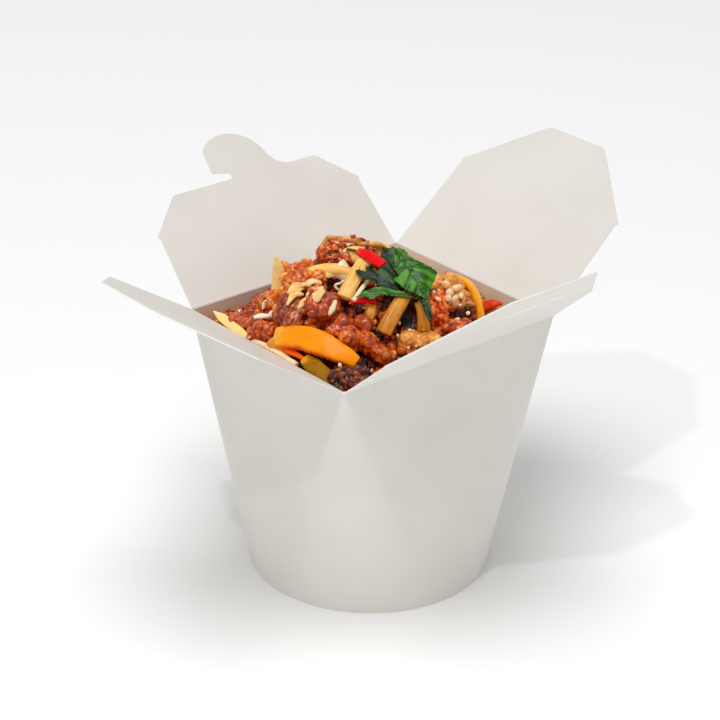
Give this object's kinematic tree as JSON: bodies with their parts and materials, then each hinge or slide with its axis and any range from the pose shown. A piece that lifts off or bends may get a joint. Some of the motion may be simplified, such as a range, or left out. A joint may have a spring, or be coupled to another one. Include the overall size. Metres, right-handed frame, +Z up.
{
  "type": "noodle takeaway box",
  "caption": "Plain white paperboard noodle box with a round base and open top flaps, heaped with noodles, glazed meat, peppers and a parsley leaf.",
  "frame": {"origin": "on the surface that the box stands on, under the middle of the whole outline with its flaps open as stored", "axes": "+Z up; +Y from the front dust flap to the back dust flap; +X from the hook flap to the slot flap"},
  "size_m": [0.1898, 0.2212, 0.1528],
  "materials": {
    "board": "uncoated-looking warm white paper board, matt, with soft creases and raw die-cut edges",
    "heap": "glazed noodles and crumbled meat in a dark red-brown sauce, wet sheen",
    "meat": "braised meat, red-brown, glossy sauce",
    "crumb": "tan, crumbly fried coating",
    "noodle": "golden wheat noodle with a thin glaze",
    "stalk": "yellow-brown vegetable stalk, ribbed along its length",
    "orange": "orange pepper slice, glossy skin",
    "carrot": "carrot, orange-red, moist",
    "yellow": "yellow pepper strip, glossy",
    "pale_pepper": "pale inner side of a pepper, satin",
    "green_pepper": "yellow-green pepper slice, moist",
    "onion": "soft translucent onion",
    "chilli": "red chilli, glossy skin",
    "leaf": "fresh flat parsley leaf, satin with veins"
  },
  "bodies": {
    "carton": {"arched_noodle": "noodle", "carrot_tip": "carrot", "carton_base": "board", "carton_wall": "board", "chilli_slice": "chilli", "chilli_strip": "chilli", "flat_cut": "noodle", "green_slice": "green_pepper", "long_stalk": "stalk", "meat_back": "meat", "meat_corner": "meat", "meat_crown": "meat", "meat_curl": "meat", "meat_glazed": "meat", "meat_left": "meat", "meat_left_low": "meat", "meat_middle": "meat", "meat_right": "meat", "meat_right_low": "meat", "meat_side": "meat", "meat_torn": "meat", "meat_upper": "meat", "noodle_heap": "heap", "nut_cluster": "crumb", "onion_piece": "onion", "orange_end": "pale_pepper", "orange_slice": "orange", "parsley_leaf": "leaf", "pepper_sliver": "pale_pepper", "rim_noodle": "noodle", "short_stalk": "stalk", "side_stalk": "stalk", "square_cut": "noodle", "stalk_end": "stalk", "tan_chunk": "crumb", "yellow_arch": "yellow", "yellow_strip": "yellow"},
    "hook_flap": {"hook_flap": "board"},
    "slot_flap": {"slot_flap": "board"},
    "back_dust_flap": {"back_dust_flap": "board"},
    "front_dust_flap": {"front_dust_flap": "board"}
  },
  "joints": [
    {"name": "hook_crease", "type": "hinge", "parent": "carton", "child": "hook_flap", "pos_m": [-0.04792, 0.0026, 0.106], "axis": [0, 1, 0], "range_deg": [-99.6, 45.4]},
    {"name": "slot_crease", "type": "hinge", "parent": "carton", "child": "slot_flap", "pos_m": [0.04408, 0.0026, 0.106], "axis": [0, -1, 0], "range_deg": [-96.7, 48.3]},
    {"name": "back_dust_crease", "type": "hinge", "parent": "carton", "child": "back_dust_flap", "pos_m": [-0.00192, 0.0551, 0.106], "axis": [1, 0, 0], "range_deg": [-95.1, 89.9]},
    {"name": "front_dust_crease", "type": "hinge", "parent": "carton", "child": "front_dust_flap", "pos_m": [-0.00192, -0.0499, 0.106], "axis": [-1, 0, 0], "range_deg": [-88.2, 82.8]}
  ]
}
